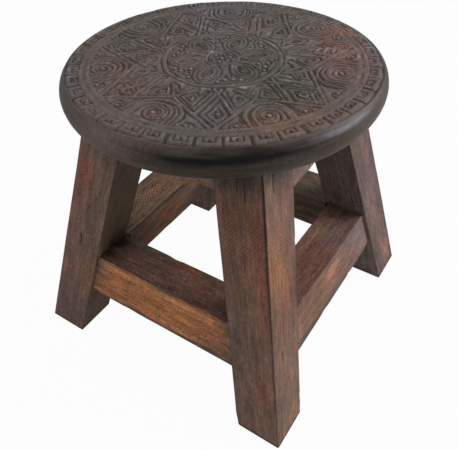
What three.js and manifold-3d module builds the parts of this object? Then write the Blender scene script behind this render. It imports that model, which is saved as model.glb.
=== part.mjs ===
// Round carved stool: a thick round seat on four leaning square legs, tied by four low
// stretchers and by four rails directly under the seat. Millimetres, +Z up, floor at z = 0.
// The four legs stand at the corners of a square: front (-x, -y), left (-x, +y),
// back (+x, +y) and right (+x, -y).
import * as THREE from 'three';
import { mergeVertices, toCreasedNormals } from 'three/addons/utils/BufferGeometryUtils.js';
import Module from 'manifold-3d';

// Seat
const SEAT_RADIUS = 125;
const SEAT_THICKNESS = 28;
const SEAT_UNDERSIDE = 231;
const SEAT_OFFSET_X = -1.4;
const SEAT_OFFSET_Y = 2.4;
const RIM_WIDEST_HEIGHT = 15.12;
const RIM_TOP_ROLL = 9.5;
const RIM_BOTTOM_ROLL = 14;
const RIM_STEPS = 6;
const SEAT_SEGMENTS = 120;

// Carving of the seat's top: sizes across a line are in millimetres, places are shares of the
// seat's radius, and angles are degrees anticlockwise from +x about the seat's own middle
const CARVING_DEPTH = 1.2;
const GROOVE_WIDTH = 1.8;
const RAISED_WIDTH = 1.6;
const BORDER_GROOVES = [0.8, 0.838, 0.878, 0.945];
const BORDER_SEGMENTS = 72;
const BAND_MOTIFS = 41;
const BAND_ANGLE = 2.65;
const STAR_TIP_ANGLES = [1.9, 54, 106.4, 156.2, 209.7, 255.5, 311.6];
const STAR_TIP = 0.8;
const STAR_NOTCH = 0.535;
const CHEVRON_FOOT = 0.455;
const CHEVRON_SLOPE = 0.5;
const EYE_PLACE = 0.725;
const EYE_RADIUS = 0.081;
const ARCH_RADIUS = 0.12;
const EYE_SEGMENTS = 20;
const MEDALLION_RADIUS = 0.357;
const MEDALLION_SEGMENTS = 48;
const PETALS = 6;
const PETAL_ANGLE = 10.6;
const PETAL_ROOT = 0.112;
const PETAL_TIP = 0.322;
const PETAL_HALF_WIDTH = 0.066;
const PETAL_STEPS = 6;

// Legs
const FOOT_SPAN = 134;
const SPLAY = 0.2377;
const LEG_SECTION = 41;
const BACK_LEG_SECTION = 47.5;
const LEG_ARRIS = 2.2;
const FOOT_EASE = 2;
const PEG_RADIUS = 10;
const PEG_LENGTH = 13;
const PEG_SEGMENTS = 40;

// Stretchers and rails
const STRETCHER_BOTTOM = 56.7;
const STRETCHER_HEIGHT = 40.6;
const FRONT_STRETCHER_DEPTH = 35.5;
const BACK_STRETCHER_DEPTH = 44;
const STRETCHER_SETBACK = 2.9;
const RAIL_HEIGHT = 30.7;
const FRONT_LEFT_RAIL_HEIGHT = 25.5;
const RAIL_DEPTH = 30;
const RAIL_SETBACK = 1;
const MEMBER_ARRIS = 1.2;
const TENON_WIDTH = 12;
const TENON_LENGTH = 12;
const TENON_SHOULDER = 8;

// Clearances and mesh settings
const JOINT_GAP = 0.3;
const CUT_MARGIN = 5;
const CREASE_ANGLE = 0.5;
const WELD_DISTANCE = 1e-4;

// Finishes
const SEAT_COLOUR = '#3c3532';
const RAIL_COLOUR = '#8a6656';
const SEAT_ROUGHNESS = 0.45;
const LEG_ROUGHNESS = 0.6;
const RAIL_ROUGHNESS = 0.65;

// The horizontal distance from the middle of the stool to a leg's outer face at a height
const outerFace = (height) => FOOT_SPAN - SPLAY * height;

const wasm = await Module();
wasm.setup();

function solid(geometry) {
  const bare = geometry.clone();
  bare.deleteAttribute('normal');
  bare.deleteAttribute('uv');
  const welded = mergeVertices(bare, WELD_DISTANCE);
  return new wasm.Manifold(
    new wasm.Mesh({
      numProp: 3,
      vertProperties: welded.attributes.position.array,
      triVerts: new Uint32Array(welded.index.array),
    }),
  );
}

function surface(manifold) {
  const mesh = manifold.getMesh();
  const geometry = new THREE.BufferGeometry();
  geometry.setAttribute('position', new THREE.BufferAttribute(mesh.vertProperties, 3));
  geometry.setIndex(new THREE.BufferAttribute(mesh.triVerts, 1));
  return toCreasedNormals(geometry, CREASE_ANGLE);
}

// A box given by its lower and upper corner
function block(low, high) {
  const size = high.map((value, axis) => value - low[axis]);
  const box = new THREE.BoxGeometry(...size);
  return box.translate(...high.map((value, axis) => (value + low[axis]) / 2));
}

// An upright round bar or bore
function roundBar(x, y, low, high, radius) {
  const bar = new THREE.CylinderGeometry(radius, radius, high - low, PEG_SEGMENTS);
  bar.rotateX(Math.PI / 2);
  bar.translate(x, y, (high + low) / 2);
  return solid(bar);
}

// A rectangle with its four corners rounded, centred on the origin
function softRectangle(width, height, radius) {
  const x = width / 2 - radius;
  const y = height / 2 - radius;
  const shape = new THREE.Shape();
  shape.absarc(x, y, radius, 0, Math.PI / 2);
  shape.absarc(-x, y, radius, Math.PI / 2, Math.PI);
  shape.absarc(-x, -y, radius, Math.PI, 1.5 * Math.PI);
  shape.absarc(x, -y, radius, 1.5 * Math.PI, 2 * Math.PI);
  shape.closePath();
  return shape;
}

// The leaning of the legs: each millimetre of height moves a point inward by SPLAY
function lean(geometry, leanX, leanY) {
  const shear = new THREE.Matrix4();
  shear.set(1, 0, -SPLAY * leanX, 0, 0, 1, -SPLAY * leanY, 0, 0, 0, 1, 0, 0, 0, 0, 1);
  return geometry.applyMatrix4(shear);
}

// Sizes of the two kinds of cross members at one side of the stool
const stretcher = (depth) => ({
  bottom: STRETCHER_BOTTOM,
  top: STRETCHER_BOTTOM + STRETCHER_HEIGHT,
  depth,
  setback: STRETCHER_SETBACK,
});
const FRONT_STRETCHER = stretcher(FRONT_STRETCHER_DEPTH);
const BACK_STRETCHER = stretcher(BACK_STRETCHER_DEPTH);
const rail = (height) => ({
  bottom: SEAT_UNDERSIDE - JOINT_GAP - height,
  top: SEAT_UNDERSIDE - JOINT_GAP,
  depth: RAIL_DEPTH,
  setback: RAIL_SETBACK,
});
const RAIL = rail(RAIL_HEIGHT);
const FRONT_LEFT_RAIL = rail(FRONT_LEFT_RAIL_HEIGHT);

// The middle of a member's section, as a distance from the middle of the stool
function middleLine(member) {
  const height = (member.bottom + member.top) / 2;
  return { height, offset: outerFace(height) - member.setback - member.depth / 2 };
}

// The tenon of a member running along x on the +y side, and with clearance the mortise
// it seats in. It ends inside the leg at the +x end, or with side = -1 at the -x end.
function tenon(member, section, side, clearance) {
  const { height, offset } = middleLine(member);
  const tip = outerFace(height) - section + TENON_LENGTH + clearance;
  const root = outerFace(member.top) - section - CUT_MARGIN;
  const halfWidth = TENON_WIDTH / 2 + clearance;
  const halfHeight = (member.top - member.bottom) / 2 - TENON_SHOULDER + clearance;
  const low = [Math.min(side * root, side * tip), offset - halfWidth, height - halfHeight];
  const high = [Math.max(side * root, side * tip), offset + halfWidth, height + halfHeight];
  return block(low, high);
}

// A leg at the (+x, +y) corner. `alongX` are the members that enter its -x face and
// `alongY` those that enter its -y face.
function legSolid(section, alongX, alongY) {
  const top = SEAT_UNDERSIDE - JOINT_GAP;
  const centre = FOOT_SPAN - section / 2;
  const stick = new THREE.ExtrudeGeometry(softRectangle(section, section, LEG_ARRIS), {
    depth: SEAT_UNDERSIDE + CUT_MARGIN,
    bevelEnabled: true,
    bevelThickness: FOOT_EASE,
    bevelSize: FOOT_EASE,
    bevelOffset: -FOOT_EASE,
    bevelSegments: 3,
    curveSegments: 3,
  });
  stick.translate(0, 0, FOOT_EASE);
  lean(stick, 1, 1);
  stick.translate(centre, centre, 0);
  const above = solid(block([0, 0, top], [FOOT_SPAN, FOOT_SPAN, top + SEAT_UNDERSIDE]));
  const pegCentre = outerFace(SEAT_UNDERSIDE) - section / 2;
  const pegTop = SEAT_UNDERSIDE + PEG_LENGTH;
  let leg = solid(stick).subtract(above);
  leg = leg.add(roundBar(pegCentre, pegCentre, top - CUT_MARGIN, pegTop, PEG_RADIUS));
  for (const member of alongX) {
    leg = leg.subtract(solid(tenon(member, section, 1, JOINT_GAP)));
  }
  for (const member of alongY) {
    const mortise = tenon(member, section, -1, JOINT_GAP).rotateZ(-Math.PI / 2);
    leg = leg.subtract(solid(mortise));
  }
  return leg;
}

// A member along x on the +y side. Its ends are cut to the slope of the two legs it
// meets: `minusSection` at the -x end and `plusSection` at the +x end.
function memberSolid(member, minusSection, plusSection) {
  const height = member.top - member.bottom;
  const middle = (member.top + member.bottom) / 2;
  const stick = new THREE.ExtrudeGeometry(softRectangle(member.depth, height, MEMBER_ARRIS), {
    depth: 2 * FOOT_SPAN,
    bevelEnabled: false,
    curveSegments: 2,
  });
  stick.translate(0, 0, -FOOT_SPAN);
  stick.rotateX(Math.PI / 2);
  stick.rotateZ(Math.PI / 2);
  stick.translate(0, 0, middle);
  lean(stick, 0, 1);
  stick.translate(0, FOOT_SPAN - member.setback - member.depth / 2, 0);

  const span = new THREE.Shape();
  const low = member.bottom - CUT_MARGIN;
  const high = member.top + CUT_MARGIN;
  const reach = (at, section) => outerFace(at) - section - JOINT_GAP;
  span.moveTo(-reach(low, minusSection), low);
  span.lineTo(reach(low, plusSection), low);
  span.lineTo(reach(high, plusSection), high);
  span.lineTo(-reach(high, minusSection), high);
  span.closePath();
  const trim = new THREE.ExtrudeGeometry(span, { depth: FOOT_SPAN, bevelEnabled: false });
  trim.rotateX(Math.PI / 2);
  trim.translate(0, FOOT_SPAN, 0);

  return solid(stick)
    .intersect(solid(trim))
    .add(solid(tenon(member, minusSection, -1, 0)))
    .add(solid(tenon(member, plusSection, 1, 0)));
}

// A point at a share of the seat's radius from its middle
function polar(share, degrees) {
  const angle = THREE.MathUtils.degToRad(degrees);
  return new THREE.Vector2(Math.cos(angle), Math.sin(angle)).multiplyScalar(SEAT_RADIUS * share);
}

// Points of an arc about a place on the x axis or beside it, from one angle to another
function arcPoints(x, y, radius, start, end, steps) {
  const arc = new THREE.EllipseCurve(x, y, radius, radius, start, end);
  return arc.getPoints(steps);
}

// An outline is a function: how far outside a form it runs gives its points, anticlockwise.
// A round one has its middle at a share of the seat's radius along x, and starts half a step
// on, so that its corners keep clear of the seat's own.
const round = (share, segments, place = 0) => (outward) => {
  const radius = SEAT_RADIUS * share + outward;
  const start = Math.PI / segments;
  const end = start + 2 * Math.PI;
  return arcPoints(SEAT_RADIUS * place, 0, radius, start, end, segments).slice(0, -1);
};

// The outline of a form with straight sides. Each corner moves along the line that halves it.
const straight = (corners) => (outward) => corners.map((corner, index) => {
  const facing = [corners.at(index - 1), corner].map((from, step) => {
    const to = corners[(index + step) % corners.length];
    return new THREE.Vector2(to.y - from.y, from.x - to.x).normalize();
  });
  const reach = outward / (1 + facing[0].dot(facing[1]));
  return facing[0].add(facing[1]).multiplyScalar(reach).add(corner);
});

// The outline of one leaf of the rosette on the +x side: the space that two discs share
function leaf(outward) {
  const halfLength = SEAT_RADIUS * (PETAL_TIP - PETAL_ROOT) / 2;
  const halfWidth = SEAT_RADIUS * PETAL_HALF_WIDTH;
  const disc = (halfLength ** 2 + halfWidth ** 2) / (2 * halfWidth);
  const aside = disc - halfWidth;
  const middle = SEAT_RADIUS * PETAL_ROOT + halfLength;
  const radius = disc + outward;
  const turn = Math.asin(aside / radius);
  const above = arcPoints(middle, -aside, radius, turn, Math.PI - turn, PETAL_STEPS);
  const below = arcPoints(middle, aside, radius, Math.PI + turn, 2 * Math.PI - turn, PETAL_STEPS);
  return [...above.slice(0, -1), ...below.slice(0, -1)];
}

// A flat shape as the solid that cuts it into the seat's top, turned about the seat's middle
function cutter(shape, degrees) {
  const depth = CARVING_DEPTH + CUT_MARGIN;
  const prism = new THREE.ExtrudeGeometry(shape, { depth, bevelEnabled: false });
  prism.rotateZ(THREE.MathUtils.degToRad(degrees));
  return solid(prism.translate(0, 0, SEAT_THICKNESS - CARVING_DEPTH));
}

// A groove that follows an outline at a distance outside it
function groove(outline, outward = 0, degrees = 0) {
  const shape = new THREE.Shape(outline(outward + GROOVE_WIDTH / 2));
  shape.holes.push(new THREE.Path(outline(outward - GROOVE_WIDTH / 2)));
  return cutter(shape, degrees);
}

// A raised line along an outline: the wood between two grooves
function raisedLine(outline) {
  const apart = (RAISED_WIDTH + GROOVE_WIDTH) / 2;
  return groove(outline, apart).add(groove(outline, -apart));
}

// The groove of an arch on the +x side: round towards the middle, straight out past the border
function arch(degrees) {
  const middle = SEAT_RADIUS * EYE_PLACE;
  const [outer, inner] = [1, -1].map((side) => {
    const radius = SEAT_RADIUS * ARCH_RADIUS + (side * GROOVE_WIDTH) / 2;
    const bend = arcPoints(middle, 0, radius, Math.PI / 2, 1.5 * Math.PI, EYE_SEGMENTS / 2);
    const end = [1, -1].map((half) => new THREE.Vector2(SEAT_RADIUS, half * radius));
    return [end[0], ...bend, end[1]];
  });
  return cutter(new THREE.Shape([...outer, ...inner.reverse()]), degrees);
}

// The grooves of the top: border rings with a band of short motifs between the outer two, a
// pointed star with a chevron across each point, an eye under an arch between the points,
// and a rosette in a ring, with the middle left plain
function carvedGrooves() {
  const border = new THREE.CylinderGeometry(
    SEAT_RADIUS * BORDER_GROOVES[0],
    SEAT_RADIUS * BORDER_GROOVES[0],
    2 * (SEAT_THICKNESS + CUT_MARGIN),
    BORDER_SEGMENTS,
  );
  const inBorder = solid(border.rotateX(Math.PI / 2));
  const grooves = BORDER_GROOVES.map((share) => groove(round(share, BORDER_SEGMENTS)));

  const [bandInner, bandOuter] = BORDER_GROOVES.slice(-2).map((share) => SEAT_RADIUS * share);
  for (let motif = 0; motif < BAND_MOTIFS; motif += 1) {
    const bar = new THREE.Shape([
      new THREE.Vector2(bandInner, -GROOVE_WIDTH / 2),
      new THREE.Vector2(bandOuter, -GROOVE_WIDTH / 2),
      new THREE.Vector2(bandOuter, GROOVE_WIDTH / 2),
      new THREE.Vector2(bandInner, GROOVE_WIDTH / 2),
    ]);
    grooves.push(cutter(bar, BAND_ANGLE + (360 * motif) / BAND_MOTIFS));
  }

  const middles = STAR_TIP_ANGLES.map((tip, index) => {
    const next = STAR_TIP_ANGLES[index + 1] ?? STAR_TIP_ANGLES[0] + 360;
    return (tip + next) / 2;
  });
  const star = straight(STAR_TIP_ANGLES.flatMap((tip, index) => [
    polar(STAR_TIP, tip),
    polar(STAR_NOTCH, middles[index]),
  ]));
  grooves.push(raisedLine(star).intersect(inBorder));

  // a chevron opens outward from its foot, and its far corners lie outside the star
  const across = CHEVRON_SLOPE * (1 - CHEVRON_FOOT);
  const chevron = straight([
    [CHEVRON_FOOT, 0],
    [1, -across],
    [1, across],
  ].map((shares) => new THREE.Vector2(...shares).multiplyScalar(SEAT_RADIUS)));
  const inStar = cutter(new THREE.Shape(star(-(RAISED_WIDTH + GROOVE_WIDTH) / 2)), 0);
  STAR_TIP_ANGLES.forEach((tip) => {
    grooves.push(groove(chevron, -RAISED_WIDTH, tip).intersect(inStar));
  });

  const eye = round(EYE_RADIUS, EYE_SEGMENTS, EYE_PLACE);
  middles.forEach((middle) => {
    grooves.push(groove(eye, 0, middle), arch(middle).intersect(inBorder));
  });

  grooves.push(raisedLine(round(MEDALLION_RADIUS, MEDALLION_SEGMENTS)));
  for (let petal = 0; petal < PETALS; petal += 1) {
    grooves.push(groove(leaf, RAISED_WIDTH, PETAL_ANGLE + (360 * petal) / PETALS));
  }
  return grooves.reduce((joined, next) => joined.add(next));
}

// The seat: a turned slab with a fuller roll below than above, carved on top, and a bore in
// its underside for the round peg of each leg
function seatSolid(pegCentres) {
  const profile = [new THREE.Vector2(0, 0)];
  for (let step = 0; step <= RIM_STEPS; step += 1) {
    const turn = (step / RIM_STEPS) * (Math.PI / 2);
    const radius = SEAT_RADIUS - RIM_BOTTOM_ROLL * (1 - Math.sin(turn));
    profile.push(new THREE.Vector2(radius, RIM_WIDEST_HEIGHT * (1 - Math.cos(turn))));
  }
  for (let step = 1; step <= RIM_STEPS; step += 1) {
    const turn = (step / RIM_STEPS) * (Math.PI / 2);
    const radius = SEAT_RADIUS - RIM_TOP_ROLL * (1 - Math.cos(turn));
    const height = RIM_WIDEST_HEIGHT + (SEAT_THICKNESS - RIM_WIDEST_HEIGHT) * Math.sin(turn);
    profile.push(new THREE.Vector2(radius, height));
  }
  profile.push(new THREE.Vector2(0, SEAT_THICKNESS));
  const turned = new THREE.LatheGeometry(profile, SEAT_SEGMENTS);
  turned.rotateX(Math.PI / 2);
  let slab = solid(turned).subtract(carvedGrooves());
  for (const [x, y] of pegCentres) {
    const depth = PEG_LENGTH + JOINT_GAP;
    slab = slab.subtract(roundBar(x, y, -CUT_MARGIN, depth, PEG_RADIUS + JOINT_GAP));
  }
  return slab;
}

const stool = new THREE.Group();
stool.name = 'carved_round_stool';

function wood(colour, roughness) {
  return new THREE.MeshStandardMaterial({ color: colour, roughness, metalness: 0 });
}

// A piece modelled at one corner or side, moved so that its own middle is its origin,
// then turned by a number of quarter turns to where it belongs
function addPiece(name, manifold, quarterTurns, material) {
  const geometry = surface(manifold);
  geometry.computeBoundingBox();
  const centre = geometry.boundingBox.getCenter(new THREE.Vector3());
  geometry.translate(-centre.x, -centre.y, -centre.z);
  const piece = new THREE.Mesh(geometry, material);
  piece.name = name;
  const turn = (quarterTurns * Math.PI) / 2;
  piece.rotation.z = turn;
  piece.position.copy(centre).applyAxisAngle(new THREE.Vector3(0, 0, 1), turn);
  stool.add(piece);
}

// The sides in the order that quarter turns bring the back left side to them: name,
// stretcher, rail, the sections of the legs at its two ends, and the stretcher's colour
const SIDES = [
  ['back_left', BACK_STRETCHER, RAIL, LEG_SECTION, BACK_LEG_SECTION, '#7c5440'],
  ['front_left', FRONT_STRETCHER, FRONT_LEFT_RAIL, LEG_SECTION, LEG_SECTION, '#8f5c3a'],
  ['front_right', FRONT_STRETCHER, RAIL, LEG_SECTION, LEG_SECTION, '#7d5747'],
  ['back_right', BACK_STRETCHER, RAIL, BACK_LEG_SECTION, LEG_SECTION, '#6f4c3a'],
];
SIDES.forEach(([side, low, high, minusSection, plusSection, colour], quarterTurns) => {
  const stretcherSolid = memberSolid(low, minusSection, plusSection);
  addPiece(`stretcher_${side}`, stretcherSolid, quarterTurns, wood(colour, LEG_ROUGHNESS));
  const railSolid = memberSolid(high, minusSection, plusSection);
  addPiece(`rail_${side}`, railSolid, quarterTurns, wood(RAIL_COLOUR, RAIL_ROUGHNESS));
});

// The legs in the order that quarter turns bring the back corner to them: name, section and
// colour. Before it is turned, a leg stands between the side of its own place in SIDES,
// whose members enter it along x, and the side before that one, whose members enter along y.
const LEGS = [
  ['leg_back', BACK_LEG_SECTION, '#5b3a2c'],
  ['leg_left', LEG_SECTION, '#6b4436'],
  ['leg_front', LEG_SECTION, '#6d4a39'],
  ['leg_right', LEG_SECTION, '#7a5548'],
];
LEGS.forEach(([name, section, colour], quarterTurns) => {
  const membersOf = (index) => SIDES.at(index).slice(1, 3);
  const leg = legSolid(section, membersOf(quarterTurns), membersOf(quarterTurns - 1));
  addPiece(name, leg, quarterTurns, wood(colour, LEG_ROUGHNESS));
});

const pegCentres = LEGS.map(([, section], quarterTurns) => {
  const reach = outerFace(SEAT_UNDERSIDE) - section / 2;
  const centre = new THREE.Vector3(reach, reach, 0);
  centre.applyAxisAngle(new THREE.Vector3(0, 0, 1), (quarterTurns * Math.PI) / 2);
  return [centre.x - SEAT_OFFSET_X, centre.y - SEAT_OFFSET_Y];
});
const seat = new THREE.Mesh(surface(seatSolid(pegCentres)), wood(SEAT_COLOUR, SEAT_ROUGHNESS));
seat.name = 'seat';
seat.position.set(SEAT_OFFSET_X, SEAT_OFFSET_Y, SEAT_UNDERSIDE);
stool.add(seat);

export default stool;
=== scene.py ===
# Carved round stool: the looks of its seat, four leaning legs, four stretchers and four rails
import itertools
import math

import bpy
import numpy as np
from mathutils import Matrix, Vector
from mathutils.geometry import delaunay_2d_cdt


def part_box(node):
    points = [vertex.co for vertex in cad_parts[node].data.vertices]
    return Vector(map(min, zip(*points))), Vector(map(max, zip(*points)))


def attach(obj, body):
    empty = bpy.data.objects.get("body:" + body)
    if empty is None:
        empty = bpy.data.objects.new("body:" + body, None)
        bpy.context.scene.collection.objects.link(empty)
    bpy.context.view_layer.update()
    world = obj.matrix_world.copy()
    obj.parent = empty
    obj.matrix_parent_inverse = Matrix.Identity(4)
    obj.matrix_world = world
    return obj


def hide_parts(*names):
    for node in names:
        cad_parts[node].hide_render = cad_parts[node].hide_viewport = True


mm = 0.001

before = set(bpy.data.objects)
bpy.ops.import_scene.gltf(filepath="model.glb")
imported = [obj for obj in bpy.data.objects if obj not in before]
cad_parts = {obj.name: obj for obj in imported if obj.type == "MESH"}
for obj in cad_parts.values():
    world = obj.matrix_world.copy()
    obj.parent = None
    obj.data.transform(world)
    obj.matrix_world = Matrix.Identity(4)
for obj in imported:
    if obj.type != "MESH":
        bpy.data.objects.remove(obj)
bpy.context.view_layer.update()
print("frame loaded,", len(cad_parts), "nodes")

# Sizes that the pieces share, in metres. The middle of the stool is the origin.
stool = dict(
    footSpan=134 * mm,      # from the middle to a leg's outer face, at the floor
    splay=0.2377,           # how far a face moves inward for each unit of height
    legSection=41 * mm,
    backLegSection=47.5 * mm,
)


# Numbers for shapes

def smooth(low, high, value):
    # 0 below low, 1 above high, and 3t^2 - 2t^3 of the way t between them
    t = np.clip((value - low) / (high - low), 0, 1)
    return t * t * (3 - 2 * t)


def lattice(seed, places):
    # Random values from -1 to 1 at whole-numbered places, blended smoothly in between
    table = np.random.default_rng(seed).uniform(-1, 1, (64, 64, 64))
    cell = np.floor(places).astype(int)
    part = places - cell
    part = part * part * (3 - 2 * part)
    total = np.zeros(len(places))
    for corner in itertools.product((0, 1), repeat=3):
        index = (cell + corner) % 64
        weight = np.prod(np.where(corner, part, 1 - part), axis=1)
        total += weight * table[index[:, 0], index[:, 1], index[:, 2]]
    return total


def noise(seed, places, size, octaves=1):
    # Lattice values whose cells measure size, which is one number or one for each axis, plus the
    # same at half the size and half the height
    total = 0
    for octave in range(octaves):
        total = total + lattice(seed + octave, places / np.array(size) * 2**octave) * 0.5**octave
    return total


def rays(angle):
    # Unit vectors (cos, sin) at angles in radians
    return np.stack([np.cos(angle), np.sin(angle)], axis=-1)


def turnMatrix(angle):
    # Rows of x and y times this matrix are turned anticlockwise by an angle in radians
    return np.array([[math.cos(angle), math.sin(angle)], [-math.sin(angle), math.cos(angle)]])


def lineGap(points, line):
    # Distance from each point to the nearest stretch of a line of straight stretches: the
    # foot of the perpendicular is kept between the stretch's two ends
    start = line[:-1]
    along = line[1:] - start
    reach = points[:, None, :] - start
    share = np.sum(reach * along, axis=2) / np.maximum(np.sum(along * along, axis=1), 1e-12)
    foot = start + np.clip(share, 0, 1)[:, :, None] * along
    return np.linalg.norm(points[:, None, :] - foot, axis=2).min(axis=1)


def nearest(points, lines, margin):
    # Distance to the nearest of several lines, worked out only within a margin of each
    gap = np.full(len(points), margin)
    for line in lines:
        near = np.all((points > line.min(0) - margin) & (points < line.max(0) + margin), axis=1)
        gap[near] = np.minimum(gap[near], lineGap(points[near], line))
    return gap


# Meshes

def makePiece(name, points, faces, values, material, nodes):
    # One mesh from points, arrays of faces with 3 or 4 corners, and named values per point
    mesh = bpy.data.meshes.new(name)
    mesh.vertices.add(len(points))
    mesh.vertices.foreach_set("co", points.astype(np.float32).ravel())
    corners = np.concatenate([f.ravel() for f in faces])
    counts = np.concatenate([np.full(len(f), f.shape[1]) for f in faces])
    mesh.loops.add(len(corners))
    mesh.loops.foreach_set("vertex_index", corners.astype(np.int32))
    mesh.polygons.add(len(counts))
    mesh.polygons.foreach_set("loop_start", (np.cumsum(counts) - counts).astype(np.int32))
    for key, value in values.items():
        kind = "FLOAT_VECTOR" if value.ndim == 2 else "FLOAT"
        layer = mesh.attributes.new(key, kind, "POINT")
        layer.data.foreach_set("vector" if value.ndim == 2 else "value", value.astype(np.float32).ravel())
    mesh.update(calc_edges=True)
    mesh.validate()
    mesh.shade_smooth()
    piece = bpy.data.objects.new(name, mesh)
    bpy.context.scene.collection.objects.link(piece)
    piece.data.materials.append(material)
    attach(piece, "root")
    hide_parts(*nodes)
    return piece


def lift(rows, around, heights):
    # Flat rows of points with one height for each row as the third coordinate
    third = np.broadcast_to(heights[:, None, None], (len(rows), around, 1))
    return np.concatenate([rows, third], axis=2)


def loftFaces(rows, around):
    # Quads between rows of points that run round, and fans to the pole before the first row
    # and to the pole after the last
    row, step = np.meshgrid(np.arange(rows - 1), np.arange(around), indexing="ij")
    a = 1 + row * around + step
    b = 1 + row * around + (step + 1) % around
    quads = np.stack([a, b, b + around, a + around], axis=2).reshape(-1, 4)
    ring = np.arange(around)
    turned = (ring + 1) % around
    last = 1 + (rows - 1) * around
    firstFan = np.stack([np.zeros(around, int), 1 + turned, 1 + ring], axis=1)
    lastFan = np.stack([np.full(around, last + around), last + ring, last + turned], axis=1)
    return [quads, firstFan, lastFan]


# Shaders

class Socket:                # a socket of values, so that a + b or 1 - a adds the node that says it
    def __init__(self, shader, output):
        self.shader = shader
        self.output = output

    def math(self, operation, first, second):              # a node of one sum, with two values
        return self.shader.add("Math", {"operation": operation}, {0: first, 1: second})

    def __add__(self, other):
        return self.math("ADD", self, other)

    def __sub__(self, other):
        return self.math("SUBTRACT", self, other)

    def __rsub__(self, other):
        return self.math("SUBTRACT", other, self)

    def __mul__(self, other):
        return self.math("MULTIPLY", self, other)

    __radd__ = __add__
    __rmul__ = __mul__


class Shader:                # the nodes of a material or the world, and the one way to add to them
    def __init__(self, owner):
        owner.use_nodes = True
        self.owner = owner
        self.tree = owner.node_tree
        self.tree.nodes.clear()

    def add(self, kind, settings, inputs, output=0):       # a node, joined up, and one of its outputs
        node = self.tree.nodes.new("ShaderNode" + kind)
        for key, value in settings.items():
            setattr(node, key, value)
        for key, value in inputs.items():
            if isinstance(value, Socket):
                self.tree.links.new(value.output, node.inputs[key])
            else:
                node.inputs[key].default_value = value
        return Socket(self, node.outputs[output]) if len(node.outputs) else None

    def attribute(self, name, output="Fac"):               # a value painted on the points
        return self.add("Attribute", {"attribute_name": name}, {}, output)

    def ramp(self, value, low, high):                      # 0 at low to 1 at high, smoothly
        settings = {"interpolation_type": "SMOOTHSTEP"}
        return self.add("MapRange", settings, {0: value, 1: low, 2: high, 3: 0.0, 4: 1.0})

    def grain(self, place, scale, detail=2.0, offset=(0, 0, 0)):   # noise, scale in cells per metre
        moved = self.add("Mapping", {}, {"Vector": place, "Location": offset, "Scale": scale})
        return self.add("TexNoise", {}, {"Vector": moved, "Scale": 1.0, "Detail": detail})

    def pick(self, apart, part):                           # y or z of the vector taken apart
        return Socket(self, apart.output.node.outputs[part])

    def wave(self, angle):                                 # the sine of an angle in radians
        return self.add("Math", {"operation": "SINE"}, {0: angle})

    def mix(self, share, first, second):                   # a share of the second colour over the first
        return self.add("Mix", {"data_type": "RGBA"}, {0: share, 6: first, 7: second}, 2)

    def shade(self, colour, factor):                       # a colour times a value
        return self.add("VectorMath", {"operation": "SCALE"}, {0: colour, "Scale": factor})

    def finish(self, colour, roughness, height, depth, gloss):     # the surface, with its fine relief
        bump = self.add("Bump", {}, {"Height": height, "Distance": depth, "Strength": 1.0})
        sockets = {"Base Color": colour, "Roughness": roughness, "Normal": bump}
        surface = self.add("BsdfPrincipled", {}, {**sockets, "Specular IOR Level": gloss})
        self.add("OutputMaterial", {}, {"Surface": surface})
        return self.owner


def linear(code):
    # The linear colour of a six-digit screen colour
    channels = np.array([int(code[i:i + 2], 16) for i in (0, 2, 4)]) / 255
    return np.where(channels <= 0.04045, channels / 12.92, ((channels + 0.055) / 1.055) ** 2.4)


def paint(code):
    # The same colour as a colour socket takes it
    return (*linear(code), 1.0)


# The stains of the stool, as screen colours of the bare surface, and the colours of painted shadow and of
# painted highlights
palette = dict(
    plum="6a5350", brown="74574a", red="8d5543", orange="b0703f", amber="d09258", tan="8c6e55",
    olive="685a3d", grey="7a6663", pink="85655c", dark="463831", soot="2f2723", paintedShadow="191512",
    umber="6b442f", sienna="8a5f40", moss="38332b", salmon="b9806a", rose="95605a", khaki="705c46",
    slate="5f5b61", pewter="555248", wine="6e5552", rust="805e4d", paintedHighlight="9a9ba5", pitch="0d0b0a",
)


def blend(colour, share, name):
    # Colours moved by a share of the way towards a stain: c + share (stain - c)
    return colour + share[:, None] * (linear(palette[name]) - colour)


woodGrain = dict(            # cells in a metre of the section twice and of the length, detail, place
    streaks=((230, 230, 12), 3.0, (3, 1, 7)),
    fibres=((620, 620, 42), 2.0, (0, 0, 0)),
    grit=((560, 560, 330), 2.0, (5, 2, 0)),
    mottle=((150, 150, 75), 2.0, (1, 9, 4)),
    wander=((90, 90, 60), 2.0, (7, 3, 2)),
)
woodTones = dict(            # how much each of them lightens or darkens the stain
    fibres=1.15,
    grit=1.1,
    streaks=0.8,
    mottle=0.8,
    dots=0.34,
    warmth=(1.035, 0.995, 0.96),
    mottleEdge=(0.35, 0.65),  # between these values of the mottle the stain turns warmer
    flecks=(0.56, 0.70),     # between these values of the grit the pale flecks set in
    sheen=0.25,              # how much duller the fibres' tops are than their bottoms
)


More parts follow.
